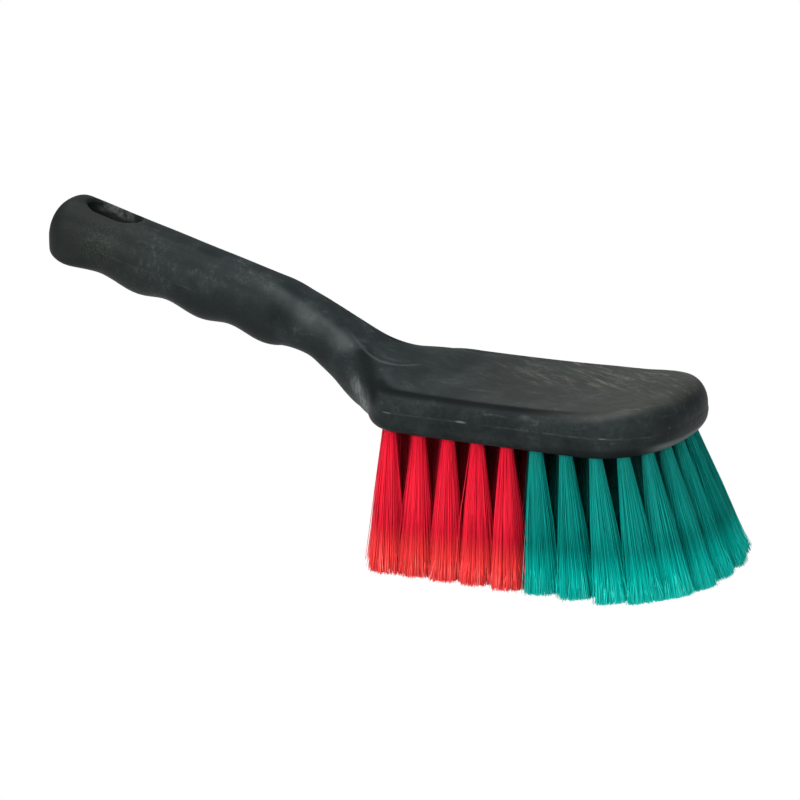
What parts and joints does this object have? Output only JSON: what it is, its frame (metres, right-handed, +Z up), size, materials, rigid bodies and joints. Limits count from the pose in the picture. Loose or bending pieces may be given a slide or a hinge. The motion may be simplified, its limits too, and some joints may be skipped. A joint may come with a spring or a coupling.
{
  "type": "scrub brush",
  "caption": "Short-handled scrub brush: one-piece head and angled grip with finger waves and hang slot, and bristle tufts in two colours that fan out round the nose.",
  "frame": {"origin": "the middle of the bounding box in plan, at the height of the bristle tips it stands on", "axes": "+X from the grip's end towards the nose, +Y across the head, +Z up, away from the bristle tips"},
  "size_m": [0.2834, 0.0866, 0.1233],
  "materials": {
    "black_plastic": "matte black, lightly mottled",
    "red_filament": "red filament with a soft sheen",
    "green_filament": "green filament with a soft sheen"
  },
  "bodies": {
    "root": {"brush_body": "black_plastic", "red_tuft_01": "red_filament", "red_tuft_02": "red_filament", "red_tuft_03": "red_filament", "red_tuft_04": "red_filament", "red_tuft_05": "red_filament", "green_tuft_01": "green_filament", "green_tuft_02": "green_filament", "green_tuft_03": "green_filament", "red_tuft_06": "red_filament", "red_tuft_07": "red_filament", "red_tuft_08": "red_filament", "red_tuft_09": "red_filament", "red_tuft_10": "red_filament", "green_tuft_04": "green_filament", "green_tuft_05": "green_filament", "green_tuft_06": "green_filament", "green_tuft_07": "green_filament", "green_tuft_08": "green_filament", "green_tuft_09": "green_filament", "green_tuft_10": "green_filament", "green_tuft_11": "green_filament", "green_tuft_12": "green_filament", "green_tuft_13": "green_filament", "red_tuft_11": "red_filament", "red_tuft_12": "red_filament", "red_tuft_13": "red_filament", "red_tuft_14": "red_filament", "red_tuft_15": "red_filament", "green_tuft_14": "green_filament", "green_tuft_15": "green_filament", "green_tuft_16": "green_filament", "red_tuft_16": "red_filament", "red_tuft_17": "red_filament", "red_tuft_18": "red_filament", "red_tuft_19": "red_filament", "red_tuft_20": "red_filament", "green_tuft_17": "green_filament", "green_tuft_18": "green_filament", "green_tuft_19": "green_filament", "green_tuft_20": "green_filament", "green_tuft_21": "green_filament", "green_tuft_22": "green_filament", "red_tuft_21": "red_filament", "red_tuft_22": "red_filament", "red_tuft_23": "red_filament", "red_tuft_24": "red_filament", "red_tuft_25": "red_filament", "green_tuft_23": "green_filament", "green_tuft_24": "green_filament", "green_tuft_25": "green_filament", "red_tuft_26": "red_filament", "red_tuft_27": "red_filament", "red_tuft_28": "red_filament", "red_tuft_29": "red_filament", "red_tuft_30": "red_filament", "green_tuft_26": "green_filament", "green_tuft_27": "green_filament", "green_tuft_28": "green_filament"}
  },
  "joints": []
}
